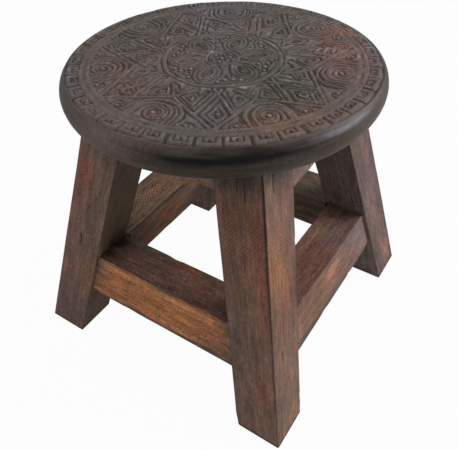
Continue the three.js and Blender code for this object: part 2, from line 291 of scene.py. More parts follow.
def woodMaterial(name, look):
    # Stained wood. The stain, with the painted shade in some of its patches, is painted on the points
    # as "tint". Streaks and fibres run along the stick, which is z of the attribute "grain"; grit and
    # pale flecks lie between them, and where "speckle" is painted, two crossing waves dot the surface in
    # rows.
    shader = Shader(bpy.data.materials.new(name))
    place = shader.attribute("grain", "Vector")
    streaks, fibres, grit, mottle, wander = (shader.grain(place, *kind) for kind in woodGrain.values())
    wander = wander * look["wander"]
    apart = shader.add("SeparateXYZ", {}, {0: place})
    across = shader.wave((apart + shader.pick(apart, 1)) * look["rows"] + wander)
    along = shader.wave(shader.pick(apart, 2) * look["rows"] + wander)
    speckle = across * along * shader.attribute("speckle")
    tint = shader.attribute("tint", "Vector")
    warmer = shader.add("VectorMath", {"operation": "MULTIPLY"}, {0: tint, 1: woodTones["warmth"]})
    colour = shader.mix(shader.ramp(mottle, *woodTones["mottleEdge"]), tint, warmer)
    flecks = shader.ramp(grit * 0.6 + fibres * 0.4, *woodTones["flecks"]) * look["flecks"]
    fine = (fibres - 0.5) * woodTones["fibres"] + (grit - 0.5) * woodTones["grit"]
    fine = fine + (streaks - 0.5) * woodTones["streaks"]
    tone = 1 + fine * look["contrast"] + (mottle - 0.5) * (woodTones["mottle"] * look["contrast"])
    tone = tone + speckle * woodTones["dots"] + flecks
    roughness = look["roughness"] + (fibres - 0.5) * woodTones["sheen"]
    height = fibres * 0.5 + grit * 0.4 + speckle * 0.5
    return shader.finish(shader.shade(colour, tone), roughness, height, look["relief"], look["gloss"])


# Camera and light

view = dict(
    location=(-0.32186, -0.21153, 0.43701),
    azimuth=-54.42,          # degrees round the stool, 0 looking along +y
    elevation=43.373,        # degrees above the horizon
    roll=-2.559,
    imageWidth=459,
    imageHeight=450,
    focalPixels=528.487,
    axisPixelX=213.775,      # where the lens axis meets the image, from its left and top
    axisPixelY=235.104,
    sensor=36.0,
    clipStart=0.02,
)


def makeCamera():
    # The camera looks against its back vector; its right and up vectors turn about it by the roll
    azimuth, elevation, roll = (math.radians(view[key]) for key in ("azimuth", "elevation", "roll"))
    flat = math.cos(elevation)
    back = Vector((math.sin(azimuth) * flat, -math.cos(azimuth) * flat, math.sin(elevation)))
    level = Vector((math.cos(azimuth), math.sin(azimuth), 0))
    upward = back.cross(level)
    right = math.cos(roll) * level + math.sin(roll) * upward
    up = math.cos(roll) * upward - math.sin(roll) * level
    camera = bpy.data.objects.new("camera", bpy.data.cameras.new("camera"))
    bpy.context.scene.collection.objects.link(camera)
    turn = Matrix((right, up, back)).transposed().to_4x4()
    camera.matrix_world = Matrix.Translation(view["location"]) @ turn
    camera.data.sensor_width = view["sensor"]
    camera.data.lens = view["focalPixels"] / view["imageWidth"] * view["sensor"]
    camera.data.shift_x = 0.5 - view["axisPixelX"] / view["imageWidth"]
    camera.data.shift_y = (view["axisPixelY"] - view["imageHeight"] / 2) / view["imageWidth"]
    camera.data.clip_start = view["clipStart"]
    bpy.context.scene.camera = camera


light = dict(
    sky=0.55,                # strength of the even light from all round
    keyPower=15.6,           # watts
    keySize=0.9,
    keyPlace=(1.0, -1.0, 0.9),
    keyAim=(0.0, 0.0, 0.15),
    floorHalf=6.0,
    floorDrop=0.5 * mm,
    floorColour="c8c8c8",
    floorWhite=0.97,         # share of plain white that the camera sees on the floor
)
white = (1, 1, 1, 1)


def makeLight():
    # Even light all round, white to the camera, and one large lamp from the right
    shader = Shader(bpy.data.worlds.new("studio"))
    even = shader.add("Background", {}, {"Color": white, "Strength": light["sky"]})
    plain = shader.add("Background", {}, {"Color": white, "Strength": 1.0})
    seen = shader.add("LightPath", {}, {}, "Is Camera Ray")
    both = shader.add("MixShader", {}, {0: seen, 1: even, 2: plain})
    shader.add("OutputWorld", {}, {"Surface": both})
    bpy.context.scene.world = shader.owner

    lamp = bpy.data.lights.new("key", "AREA")
    lamp.shape = "DISK"
    lamp.size = light["keySize"]
    lamp.energy = light["keyPower"]
    key = bpy.data.objects.new("key", lamp)
    bpy.context.scene.collection.objects.link(key)
    place = Vector(light["keyPlace"])
    key.location = place
    key.rotation_euler = (Vector(light["keyAim"]) - place).to_track_quat("-Z", "Y").to_euler()


def makeFloor():
    # A wide square just under the feet, which the camera sees mostly white
    half = light["floorHalf"]
    corners = [(x * half, y * half, -light["floorDrop"]) for x, y in ((-1, -1), (1, -1), (1, 1), (-1, 1))]
    mesh = bpy.data.meshes.new("floor")
    mesh.from_pydata(corners, [], [(0, 1, 2, 3)])
    shader = Shader(bpy.data.materials.new("pale floor"))
    matt = shader.add("BsdfDiffuse", {}, {"Color": paint(light["floorColour"])})
    glow = shader.add("Emission", {}, {"Color": white, "Strength": 1.0})
    share = shader.add("LightPath", {}, {}, "Is Camera Ray") * light["floorWhite"]
    both = shader.add("MixShader", {}, {0: share, 1: matt, 2: glow})
    shader.add("OutputMaterial", {}, {"Surface": both})
    mesh.materials.append(shader.owner)
    floor = bpy.data.objects.new("floor", mesh)
    bpy.context.scene.collection.objects.link(floor)


bpy.context.scene.view_settings.view_transform = "Standard"
makeCamera()
makeLight()
makeFloor()
print("camera, light and floor made")


# The seat's carving, laid out in seat radii about the seat's middle. Angles are in degrees
# anticlockwise as the photograph shows the seat, from the right.
carving = dict(
    turn=-54.42,                                            # from the photograph's right to +x
    armTips=(108.4, 56.3, 6.0, 309.9, 264.1, 210.6, 160.8),  # the points of the star, cut by eye
    armKinds=(0, 0, 2, 0, 3, 1, 1),                         # and which drawing each has
    sectorHalf=180 / 7,      # half the angle of the sector in which an arm or a field is drawn
    tip=0.815,
    notch=0.535,
    kiteSide=(0.100, 0.655),
    ringLines=(0.818, 0.858),
    medallion=0.357,
    bandInner=0.884,
    bandOuter=0.934,
    bandMotifs=41,
    bandKey=(3.1, 3.25, 1.6),   # degrees from a motif's middle to its ends, corners and bends
    bandDot=(0.903, 0.0125),    # place and size of the hollow in it
    edgeGroove=0.951,
    eye=0.725,
    petals=6,
    petalTurn=5.0,
    petalRoot=0.112,
    petalTip=0.322,
    petalHalf=0.066,
    petalBeads=(             # between two petals: degrees from the middle, place and size
        (-13, 0.305, 0.011), (-5, 0.288, 0.012), (5, 0.288, 0.012), (13, 0.305, 0.011), (0, 0.235, 0.012),
    ),
    hub=0.098,
    hubBeads=(10, 0.052, 0.011),    # degrees to the first of them, place and size
    hubMiddle=0.014,
    ridgeHalf=0.62 * mm,     # half the width of a raised line's flat top
    grooveWidth=1.75 * mm,   # of the groove on each side of a raised line
    grooveDepth=1.45 * mm,
    grooveShape=(0.55, 0.7, 1.35),      # in widths: deepest from here, rising from here, to here
    fieldDepth=0.45 * mm,    # of the ground between the grooves
    cutDepth=1.05 * mm,      # of a single knife cut
    cutSlope=(0.2 * mm, 1.1 * mm),      # from its deepest part to its edge
    beadSlope=0.5 * mm,      # half the width of a boss's flank
    beadGroove=(0.9 * mm, 1.9 * mm),    # from a boss, where its groove rises to the ground
    dotDepth=1.15,           # of a hollow, against the grooves
    dotSlope=(-1.1 * mm, 0.5 * mm),
    jitter=0.006,
    wobble=0.6 * mm,         # how far the knife wandered
    wobbleSizes=(20 * mm, 5 * mm),      # length of its slow and its quick turns
    wobbleQuick=0.35,        # height of the quick ones against the slow ones
    medallionExtra=0.5 * mm,  # more width on each side for the medallion's ring
    bandExtra=0.35 * mm,     # and for the border's motifs
    bandStart=(0.87, 0.89),
    ringsShallower=0.4,      # share of depth that is missing round the ring lines
    ringsFrom=(0.795, 0.805),
    ringsTo=(0.87, 0.88),
    gapHalf=0.55 * mm,       # half the width of the slots between the border's motifs
    gapShape=(0.7, 2.0),     # in half widths: deepest to here, and level from here
    gapDepth=1.1,            # of those slots, against the grooves
    gapStart=(0.872, 0.88),
    edgeDepth=0.9 * mm,      # of the groove that parts the top from the rim
    edgeBlur=0.003,          # half the width in which the carving ends there
    edgeSlope=(0.1 * mm, 1.1 * mm),
    uneven=dict(             # seed, size of a patch and share by which each of these varies
        ridge=(43, 9 * mm, 0.45),
        groove=(45, 7 * mm, 0.25),
        deep=(47, 6 * mm, 0.28),
        ground=(49, 8 * mm, 0.6),
    ),
)


def sectorPoint(tip, halfLeft, halfRight, u, v):
    # A point u to the right and v outward of a sector's middle line, its angle stretched so
    # that the drawing's half angle comes to the sector's own on that side
    swing = np.degrees(np.arctan2(u, v))
    half = np.where(swing < 0, halfLeft, halfRight)
    angle = np.radians(tip - swing * half / carving["sectorHalf"])
    return np.hypot(u, v)[..., None] * rays(angle)


def arcPoints(centre, radii, start, end, count=18):
    # Points on an ellipse from one angle to another, in degrees
    angle = np.radians(np.linspace(start, end, count))
    return [(centre[0] + radii[0] * math.cos(a), centre[1] + radii[1] * math.sin(a)) for a in angle]


def spiralPoints(centre, outer, pitch, turns, start):
    # Points on a spiral whose radius falls by one pitch in each turn
    angle = np.linspace(0, 2 * math.pi * turns, int(turns * 22))
    radius = outer - pitch * angle / (2 * math.pi)
    angle = angle * np.sign(start) + math.radians(abs(start))
    return list(zip(centre[0] + radius * np.cos(angle), centre[1] + radius * np.sin(angle)))


def armDrawing(kind):
    # Raised lines, knife cuts, dots and beads of one point of the star
    side, height = carving["kiteSide"]
    notch = carving["notch"]
    half = math.radians(carving["sectorHalf"])
    corner = (notch * math.sin(half), notch * math.cos(half))
    tip = carving["tip"]
    ridges = [[(-corner[0], corner[1]), (0, tip), corner]]
    leaf = [(0.128, 0.565), (0.183, 0.488), (0.117, 0.445), (0.098, 0.50), (0.128, 0.565)]
    cuts, dots, beads = [], [], []
    for s in (-1, 1):
        ridges.append([(s * side, height), (-s * 0.028, 0.395)])
        ridges.append([(s * corner[0], corner[1]), (s * 0.105, 0.405)])
        ridges.append([(s * u, v) for u, v in leaf])
        dots.append((s * 0.138, 0.490, 0.011))
        cuts.append([(s * 0.052, 0.425), (s * 0.092, 0.535)])
    if kind == 0:            # a ring in a diamond
        ridges.append([(0, 0.748), (-0.058, 0.655), (0, 0.560), (0.058, 0.655), (0, 0.748)])
        ridges.append(arcPoints((0, 0.652), (0.022, 0.024), 0, 360, 14))
        dots.append((0, 0.652, 0.009))
        dots.append((0, 0.520, 0.009))
    elif kind == 3:          # a wide diamond with three bars beside it
        ridges.append([(-0.02, 0.775), (-0.115, 0.655), (-0.02, 0.475), (0.072, 0.655), (-0.02, 0.775)])
        ridges.append([(-0.02, 0.725), (-0.070, 0.655), (-0.02, 0.560), (0.030, 0.655), (-0.02, 0.725)])
        beads.append((-0.02, 0.655, 0.012))
        ridges.append([(0.020, 0.455), (0.085, 0.590)])
        ridges.append([(0.062, 0.430), (0.125, 0.560)])
    elif kind == 1:          # two curled leaves over a stem
        for s in (-1, 1):
            ridges.append(arcPoints((s * 0.026, 0.662), (0.026, 0.032), 90 - s * 90, 90 + s * 200, 16))
            dots.append((s * 0.026, 0.660, 0.008))
        ridges.append([(0, 0.640), (0, 0.540)])
        ridges.append([(-0.035, 0.722), (0, 0.755), (0.035, 0.722)])
        cuts.append([(-0.03, 0.585), (-0.012, 0.545)])
        cuts.append([(0.03, 0.585), (0.012, 0.545)])
    else:                    # an arrow with barbs
        ridges.append([(0, 0.750), (0, 0.535)])
        for level in (0.715, 0.665, 0.615):
            reach = 0.056 * (level - 0.48) / 0.2
            ridges.append([(-reach, level - 0.045), (0, level), (reach, level - 0.045)])
    return ridges, cuts, dots, beads


def fieldDrawing(direction):
    # Lines of the field between two points of the star: an eye that winds in, two arches round
    # it that open to the border, leaf lobes, and the nested corner under the notch
    eye = carving["eye"]
    notch = carving["notch"]
    ridges = [spiralPoints((0, eye), 0.062, 0.027, 1.6, direction)]
    for radius, drop in ((0.101, 0.0), (0.138, 0.004)):
        under = arcPoints((0, eye - drop), (radius, radius), 180, 360, 26)
        top = math.sqrt((carving["ringLines"][0] - 0.02) ** 2 - radius**2)
        ridges.append([(-radius * 1.02, top), *under, (radius * 1.02, top)])
    beads = [(0, eye, 0.014)]
    dots = []
    cuts = []
    for s in (-1, 1):
        ridges.append(arcPoints((s * 0.212, 0.752), (0.026, 0.026), 90 + s * 60, 90 - s * 200, 14))
        beads.append((s * 0.212, 0.752, 0.011))
        cuts.append([(s * 0.170, 0.742), (s * 0.172, 0.700), (s * 0.150, 0.652)])
        ridges.append([(0, notch - 0.062), (s * 0.052, 0.418)])
        dots.append((s * 0.036, 0.466, 0.008))
    dots.append((0, 0.428, 0.010))
    return ridges, cuts, dots, beads


def petalDrawing():
    # One leaf of the rosette, along v: an outline of two arcs, a smaller one inside it, and its
    # middle cut; then the beads and the small corner that fill the space to the next leaf
    low, high = carving["petalRoot"], carving["petalTip"]
    middle = (low + high) / 2
    ridges = []
    for inset, width in ((0, carving["petalHalf"]), (0.030, carving["petalHalf"] - 0.027)):
        share = np.linspace(-1, 1, 13)
        reach = (high - low) / 2 - inset
        bulge = width * (1 - share**2) ** 0.85
        for s in (-1, 1):
            ridges.append([(s * b, middle + reach * t) for b, t in zip(bulge, share)])
    cuts = [[(0, low + 0.04), (0, high - 0.06)]]
    return ridges, cuts


def gatherCarving():
    # Every raised line, cut, dot and bead of the carving, in seat radii about the seat's middle
    rng = np.random.default_rng(11)
    lines, cuts, dots, beads = [], [], [], []
    tips = carving["armTips"]
    count = len(tips)

    def keep(drawing, tip, halfLeft, halfRight):
        # A drawing put into its sector, with each of its lines a little out of place
        ridges, knife, hollows, bosses = drawing
        for group, found in ((lines, ridges), (cuts, knife)):
            for line in found:
                u, v = np.array(line, float).T
                shake = rng.normal(0, carving["jitter"], (2, 1))
                group.append(sectorPoint(tip, halfLeft, halfRight, u + shake[0], v + shake[1]))
        for group, found in ((dots, hollows), (beads, bosses)):
            for u, v, size in found:
                group.append((*sectorPoint(tip, halfLeft, halfRight, u, v), size))

    for k in range(count):
        left = (tips[k - 1] - tips[k]) % 360
        right = (tips[k] - tips[(k + 1) % count]) % 360
        keep(armDrawing(carving["armKinds"][k]), tips[k], left / 2, right / 2)
        keep(fieldDrawing(40 if k % 2 else -140), tips[k] - right / 2, right / 2, right / 2)

    ridges, knife = petalDrawing()
    step = 360 / carving["petals"]
    for k in range(carving["petals"]):
        turning = turnMatrix(math.radians(carving["petalTurn"] + k * step - 90 + rng.normal(0, 1.5)))
        lines.extend(np.array(line) @ turning for line in ridges)
        cuts.extend(np.array(line) @ turning for line in knife)
        between = carving["petalTurn"] + (k + 0.5) * step
        for swing, radius, size in carving["petalBeads"]:
            beads.append((*(radius * rays(math.radians(between + swing))), size))
        first, radius, size = carving["hubBeads"]
        beads.append((*(radius * rays(math.radians(first + k * step))), size))
    beads.append((0, 0, carving["hubMiddle"]))

    pace = 360 / carving["bandMotifs"]
    for k in range(carving["bandMotifs"]):
        middle = k * pace + rng.normal(0, 0.35)
        inner, outer = carving["bandInner"], carving["bandOuter"] + rng.normal(0, 0.002)
        end, corner, bend = carving["bandKey"]
        angle = np.radians(middle + np.array([-end, -corner, -bend, 0, bend, corner, end]))
        radius = np.array([inner, *[outer] * 5, inner])
        lines.append(radius[:, None] * rays(angle))
        place, size = carving["bandDot"]
        dots.append((*(place * rays(math.radians(middle))), size))
    return lines, cuts, dots, beads


def carve(places, radius):
    # Depth of the carving in metres, downward from the flat top, at places in metres about the
    # seat's middle. A raised line is flat on top and falls into a groove on each side, beyond
    # which the ground rises part of the way; dots are hollows, beads are bosses in a groove.
    flat = np.c_[places, places[:, :1] * 0]
    slow, quick = carving["wobbleSizes"]
    wave = [noise(k, flat, slow) + carving["wobbleQuick"] * noise(k + 1, flat, quick) for k in (31, 37)]
    spots = (places + np.stack(wave, axis=1) * carving["wobble"]) / radius

    def vary(kind):
        # A factor about 1 that varies from place to place
        seed, size, share = carving["uneven"][kind]
        return 1 + share * noise(seed, flat, size, 2)

    lines, cuts, dots, beads = gatherCarving()
    margin = 6 * mm / radius
    gap = nearest(spots, lines, margin)
    reach = np.hypot(*spots.T)
    for ring in (*carving["ringLines"], carving["hub"]):
        gap = np.minimum(gap, np.abs(reach - ring))
    gap = gap * radius
    gap = np.minimum(gap, np.abs(reach - carving["medallion"]) * radius - carving["medallionExtra"])
    half = carving["ridgeHalf"] * vary("ridge")
    half = half + carving["bandExtra"] * smooth(*carving["bandStart"], reach)
    width = carving["grooveWidth"] * vary("groove")
    shallow = carving["ringsShallower"] * smooth(*carving["ringsFrom"], reach)
    shallow = shallow * (1 - smooth(*carving["ringsTo"], reach))
    deep = carving["grooveDepth"] * vary("deep") * (1 - shallow)
    ground = carving["fieldDepth"] * vary("ground")
    deepest, rising, risen = carving["grooveShape"]
    depth = deep * smooth(half, half + width * deepest, gap)
    depth -= (deep - ground) * smooth(half + width * rising, half + width * risen, gap)
    gap = nearest(spots, cuts, margin) * radius
    depth = np.maximum(depth, ground + carving["cutDepth"] * (1 - smooth(*carving["cutSlope"], gap)))
    for x, y, size in beads:
        far = (np.hypot(spots[:, 0] - x, spots[:, 1] - y) - size) * radius
        near = far < carving["beadGroove"][1]
        boss = deep * smooth(-carving["beadSlope"], carving["beadSlope"], far)
        boss -= (deep - ground) * smooth(*carving["beadGroove"], far)
        depth[near] = boss[near]
    for x, y, size in dots:
        far = (np.hypot(spots[:, 0] - x, spots[:, 1] - y) - size) * radius
        depth = np.maximum(depth, deep * carving["dotDepth"] * (1 - smooth(*carving["dotSlope"], far)))

    # slots between the border's motifs, and the groove that parts the top from the rim
    pace = 360 / carving["bandMotifs"]
    turn = np.degrees(np.arctan2(spots[:, 1], spots[:, 0])) / pace - 0.5
    gap = np.abs(turn - np.round(turn)) * math.radians(pace) * reach * radius
    within = smooth(*carving["gapStart"], reach)
    deepest, level = carving["gapShape"]
    slot = 1 - smooth(carving["gapHalf"] * deepest, carving["gapHalf"] * level, gap)
    depth = np.maximum(depth, deep * carving["gapDepth"] * slot * within)
    gap = np.abs(reach - carving["edgeGroove"]) * radius
    blur = carving["edgeBlur"]
    outside = smooth(carving["edgeGroove"] - blur, carving["edgeGroove"] + blur, reach)
    depth = depth * (1 - outside)
    return np.maximum(depth, carving["edgeDepth"] * (1 - smooth(*carving["edgeSlope"], gap)))


seat = dict(
    widest=15.12 * mm,       # height of the fullest part of the rim over the underside
    topRoll=9.5 * mm,        # how far in the rim's curve reaches, above that height
    bottomRoll=14 * mm,      # and below it
    carvedEdge=120.6 * mm,   # radius of the last ring of the disc
    rings=165,
    rimRows=16,
    rimDent=0.18 * mm,       # half the height of the waves in the rim
    rimStart=(-0.5 * mm, 0.8 * mm),     # from the edge's groove, where the rim's looks set in
    rimDentSize=(45 * mm, 45 * mm, 9 * mm),
    worn=0.12 * mm,          # half the height of the waves in the top
    wornSize=26 * mm,
    rough=0.11 * mm,         # height of the pits in it
    roughSize=1.9 * mm,
    pegRadius=10.3 * mm,
    pegDepth=13.3 * mm,
    boreSteps=28,            # points round each bore
    stain="665e5b",
    rimStain="594f4c",
    hueSize=26 * mm,         # of the clouds of wine and pewter on the top
    hueShare=0.45,
    raggedSize=12 * mm,      # of the bays in a patch's edge
    ragged=0.7,
    streakSize=(30 * mm, 30 * mm, 2.2 * mm),    # of the streaks round the rim
    streakRagged=0.9,
    streakTone=0.14,
    cloudSize=11 * mm,
    cloudTone=0.10,
    rimCover=1.5,            # so that the middle of a patch on the rim is even
    rubbedLeast=0.5,
    patches=[                # place in seat radii, reach, stain and share
        (0.0, 0.80, 0.34, 0.13, "slate", 0.7), (-0.03, 0.05, 0.09, 0.70, "slate", 0.4),
        (0.27, -0.32, 0.22, 0.32, "pewter", 0.75), (-0.53, 0.42, 0.22, 0.18, "pewter", 0.5),
        (-0.87, 0.0, 0.05, 0.30, "pewter", 0.5), (0.30, 0.62, 0.16, 0.16, "pewter", 0.4),
        (-0.34, 0.08, 0.22, 0.36, "wine", 0.5), (-0.50, -0.48, 0.20, 0.26, "wine", 0.5),
        (0.70, 0.08, 0.17, 0.30, "wine", 0.8), (0.72, -0.35, 0.14, 0.22, "wine", 0.6),
        (0.80, 0.30, 0.10, 0.10, "rust", 0.6), (0.72, 0.0, 0.14, 0.16, "pink", 0.5),
        (0.28, -0.76, 0.21, 0.13, "rust", 0.75), (-0.62, -0.18, 0.10, 0.16, "rust", 0.35),
        (0.02, -0.92, 0.30, 0.06, "wine", 0.5), (0.97, 0.0, 0.05, 0.45, "slate", 0.6),
        (-0.96, -0.1, 0.05, 0.40, "slate", 0.6),
    ],
    rimPatches=[             # plan angle, height over the underside, reach, colour and share
        (233, 17.0, 13, 13.0, "grey", 0.9), (229, 21.0, 16, 8.0, "plum", 0.3),
        # The slate at 190 is a painted highlight along the top edge of the rim
        (190, 22.0, 16, 6.0, "slate", 0.5), (328, 16.0, 26, 14.0, "dark", 0.9),
        (346, 16.0, 24, 16.0, "dark", 0.8), (20, 24.0, 48, 10.0, "soot", 0.8),
        (140, 20.0, 34, 9.0, "dark", 0.8), (85, 24.0, 40, 8.0, "soot", 0.8),
        (198, 18.0, 14, 12.0, "dark", 0.35),
        (318, 14.0, 14, 4.0, "khaki", 0.3), (296, 14.0, 26, 4.0, "dark", 0.5),
        # The pale patch at 308 is a painted highlight on the rim's right side
        (308, 23.0, 11, 1.6, "paintedHighlight", 0.5), (270, 10.0, 60, 3.0, "khaki", 0.25),
        (262, 25.6, 60, 0.6, "umber", 0.3), (262, 12.0, 28, 6.0, "moss", 0.8),
        (246, 21.5, 10, 1.2, "soot", 0.5), (270, 20.0, 23, 6.0, "soot", 0.95),
        (275, 20.5, 15, 2.6, "pitch", 1.0), (264, 18.8, 12, 2.0, "pitch", 1.0),
    ],
    rubbedAndGlints=[                 # where the raised lines are palest, rubbed and with painted glints: place, reach and share
        (0.60, 0.06, 0.34, 0.30, 0.8), (0.30, -0.72, 0.24, 0.14, 0.8), (-0.35, 0.1, 0.30, 0.35, 0.4),
    ],
)


def paintSeat(places, radius, rim):
    # The stain of each point, oval patches on the top and others by angle and height round the
    # rim, some of them painted highlights, all with uneven edges, and how far the raised lines are
    # rubbed and carry painted glints
    colour = np.tile(linear(seat["stain"]), (len(places), 1))
    colour = colour + rim[:, None] * (linear(seat["rimStain"]) - colour)
    x, y, height = places.T
    hue = noise(79, places, seat["hueSize"], 2) * (1 - rim)
    colour = blend(colour, np.clip(hue, 0, 1) * seat["hueShare"], "wine")
    colour = blend(colour, np.clip(-hue, 0, 1) * seat["hueShare"], "pewter")
    ragged = seat["ragged"] * noise(71, places, seat["raggedSize"], 3)
    rubbedAndGlints = np.full(len(places), seat["rubbedLeast"])
    for middleX, middleY, reachX, reachY, *stain, share in seat["patches"] + seat["rubbedAndGlints"]:
        away = ((x / radius - middleX) / reachX) ** 2 + ((y / radius - middleY) / reachY) ** 2
        cover = share * (1 - rim) * np.exp(-np.maximum(away + ragged, 0))
        if stain:
            colour = blend(colour, cover, *stain)
        else:
            rubbedAndGlints = np.maximum(rubbedAndGlints, cover)
    turn = np.degrees(np.arctan2(y, x)) % 360
    streaks = noise(73, places, seat["streakSize"], 3)
    for middle, level, reachTurn, reachUp, stain, share in seat["rimPatches"]:
        aside = (turn - middle + 180) % 360 - 180
        away = (aside / reachTurn) ** 2 + ((height / mm - level) / reachUp) ** 2
        cover = seat["rimCover"] * np.exp(-np.maximum(away + seat["streakRagged"] * streaks, 0))
        cover = np.minimum(cover, 1)
        colour = blend(colour, share * rim * cover, stain)
    clouds = seat["cloudTone"] * noise(77, places, seat["cloudSize"], 3) * (1 - rim)
    return colour * (1 + clouds + seat["streakTone"] * streaks * rim)[:, None], rubbedAndGlints


def makeSeat(material):
    # A disc of rings of triangles, ring k holding 6k points, then rows round the rim's two
    # quarter ellipses, and a flat underside with a blind bore for each leg's peg
    low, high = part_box("seat")
    centre = np.array([(low.x + high.x) / 2, (low.y + high.y) / 2])
    radius = (high.x - low.x) / 2
    thick = high.z - low.z
    rings = seat["rings"]
    ring = np.concatenate([np.full(6 * k, k) for k in range(1, rings + 1)])
    step = np.concatenate([np.arange(6 * k) for k in range(1, rings + 1)])
    angle = 2 * np.pi * step / (6 * ring)
    reach = seat["carvedEdge"] * ring / rings
    spots = np.r_[[[0, 0]], reach[:, None] * rays(angle)]
    far = np.r_[0, reach]
    rolled = np.maximum(far - radius + seat["topRoll"], 0) / seat["topRoll"]
    top = seat["widest"] + (thick - seat["widest"]) * np.sqrt(np.clip(1 - rolled**2, 0, 1))
    turning = turnMatrix(math.radians(-carving["turn"]))
    depth = carve(spots @ turning, radius)
    solidSpots = np.c_[spots, np.zeros(len(spots))]
    worn = seat["worn"] * (1 + noise(51, solidSpots, seat["wornSize"], 2))
    rough = seat["rough"] * np.abs(noise(53, solidSpots, seat["roughSize"], 2))
    groove = carving["edgeGroove"] * radius
    cut = np.where(far < groove, np.maximum(depth, worn) + rough, depth)
    points = [np.c_[spots + centre, low.z + top - cut]]
    relief = [1 - np.clip(depth / carving["grooveDepth"], 0, 1)]
    rimShare = [smooth(groove + seat["rimStart"][0], groove + seat["rimStart"][1], far)]

    # triangles between ring k and ring k + 1, one sixth of a turn at a time
    starts = np.r_[0, 1 + 3 * np.arange(rings) * (np.arange(rings) + 1)]
    faces = [np.stack([np.zeros(6, int), 1 + np.arange(6), 1 + (np.arange(6) + 1) % 6], axis=1)]
    for k in range(1, rings):
        sixth, j = np.meshgrid(np.arange(6), np.arange(k + 1), indexing="ij")
        outer = starts[k + 1] + (sixth * (k + 1) + j) % (6 * (k + 1))
        outerNext = starts[k + 1] + (sixth * (k + 1) + j + 1) % (6 * (k + 1))
        inner = starts[k] + (sixth * k + j) % (6 * k)
        faces.append(np.stack([inner, outer, outerNext], axis=2).reshape(-1, 3))
        innerNext = starts[k] + (sixth * k + j + 1) % (6 * k)
        part = j < k
        faces.append(np.stack([inner[part], outerNext[part], innerNext[part]], axis=1))

    # the rim, from the carved edge over the fullest part to the underside
    around = 6 * rings
    turn = 2 * np.pi * np.arange(around) / around
    topTurn = math.acos(1 - (radius - seat["carvedEdge"]) / seat["topRoll"])
    upper = seat["rimRows"] // 2
    lower = seat["rimRows"] - upper + 2
    sweep = np.r_[np.linspace(topTurn, 0, upper)[1:], np.linspace(0, -np.pi / 2, lower)[1:]]
    roll = np.where(sweep > 0, seat["topRoll"], seat["bottomRoll"])
    rise = np.where(sweep > 0, thick - seat["widest"], seat["widest"])
    rowRadius = radius - roll * (1 - np.cos(sweep))
    rowHeight = seat["widest"] + rise * np.sin(sweep)
    side = lift(rowRadius[:, None, None] * rays(turn), around, rowHeight).reshape(-1, 3)
    waves = 1 + noise(61, side, seat["rimDentSize"], 2)
    dent = seat["rimDent"] * waves * np.repeat(np.cos(sweep) ** 0.5, around)
    side[:, :2] -= side[:, :2] / np.linalg.norm(side[:, :2], axis=1)[:, None] * dent[:, None]
    points.append(side + [centre[0], centre[1], low.z])
    relief.append(np.ones(len(side)))
    rimShare.append(np.ones(len(side)))
    row, step = np.meshgrid(np.arange(len(sweep)), np.arange(around), indexing="ij")
    after = (step + 1) % around
    above = np.where(row == 0, starts[rings], len(spots) + (row - 1) * around)
    below = len(spots) + row * around
    faces.append(np.stack([above + step, below + step, below + after, above + after], axis=2).reshape(-1, 4))

    # the underside and its bores
    edgeStart = len(spots) + (len(sweep) - 1) * around
    edge = side[-around:, :2]
    steps = seat["boreSteps"]
    bores = []
    for name in ("leg_front", "leg_left", "leg_back", "leg_right"):
        section = stool["backLegSection" if name == "leg_back" else "legSection"]
        stand = stool["footSpan"] - stool["splay"] * low.z - section / 2
        least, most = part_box(name)
        bores.append(np.sign((least + most).xy) * stand - centre)
    circle = seat["pegRadius"] * rays(2 * np.pi * np.arange(steps) / steps)
    rimOfBores = [b + circle for b in bores]
    flatPoints = np.concatenate([edge, *rimOfBores])
    loops = [np.arange(around)] + [around + steps * k + np.arange(steps) for k in range(4)]
    sides = [(int(a), int(b)) for loop in loops for a, b in zip(loop, np.roll(loop, -1))]
    found = delaunay_2d_cdt([Vector(p) for p in flatPoints], sides, [], 0, 1e-7)
    triangles = np.array(found[2])
    middles = flatPoints[triangles].mean(axis=1)
    kept = np.all([np.linalg.norm(middles - b, axis=1) > seat["pegRadius"] * 0.99 for b in bores], axis=0)
    triangles = triangles[kept]
    boreStart = edgeStart + around
    index = np.r_[edgeStart + np.arange(around), boreStart + np.arange(4 * steps)]
    a, b, c = (flatPoints[triangles[:, i]] for i in range(3))
    faceUp = (b[:, 0] - a[:, 0]) * (c[:, 1] - a[:, 1]) - (b[:, 1] - a[:, 1]) * (c[:, 0] - a[:, 0]) > 0
    triangles[faceUp] = triangles[faceUp][:, ::-1]
    faces.append(index[triangles])
    for k in range(4):
        mouth = boreStart + steps * k + np.arange(steps)
        roof = boreStart + steps * (4 + k) + np.arange(steps)
        faces.append(np.stack([mouth, np.roll(mouth, -1), np.roll(roof, -1), roof], axis=1)[:, ::-1])
        peak = boreStart + steps * 8 + k
        faces.append(np.stack([roof, np.roll(roof, -1), np.full(steps, peak)], axis=1)[:, ::-1])
    mouths = np.concatenate(rimOfBores) + centre
    points.append(np.c_[mouths, np.full(len(mouths), low.z)])
    points.append(np.c_[mouths, np.full(len(mouths), low.z + seat["pegDepth"])])
    points.append(np.array([(*(b + centre), low.z + seat["pegDepth"]) for b in bores]))
    extra = steps * 8 + 4
    relief.append(np.ones(extra))
    rimShare.append(np.ones(extra))
    points = np.concatenate(points)
    rim = np.concatenate(rimShare)
    local = np.c_[(points[:, :2] - centre) @ turning, points[:, 2] - low.z]
    colour, rubbedAndGlints = paintSeat(local, radius, rim)
    values = {"relief": np.concatenate(relief), "rim": rim, "tint": colour, "rubbedAndGlints": rubbedAndGlints}
    return makePiece("carved_seat", points, faces, values, material, ["seat"])


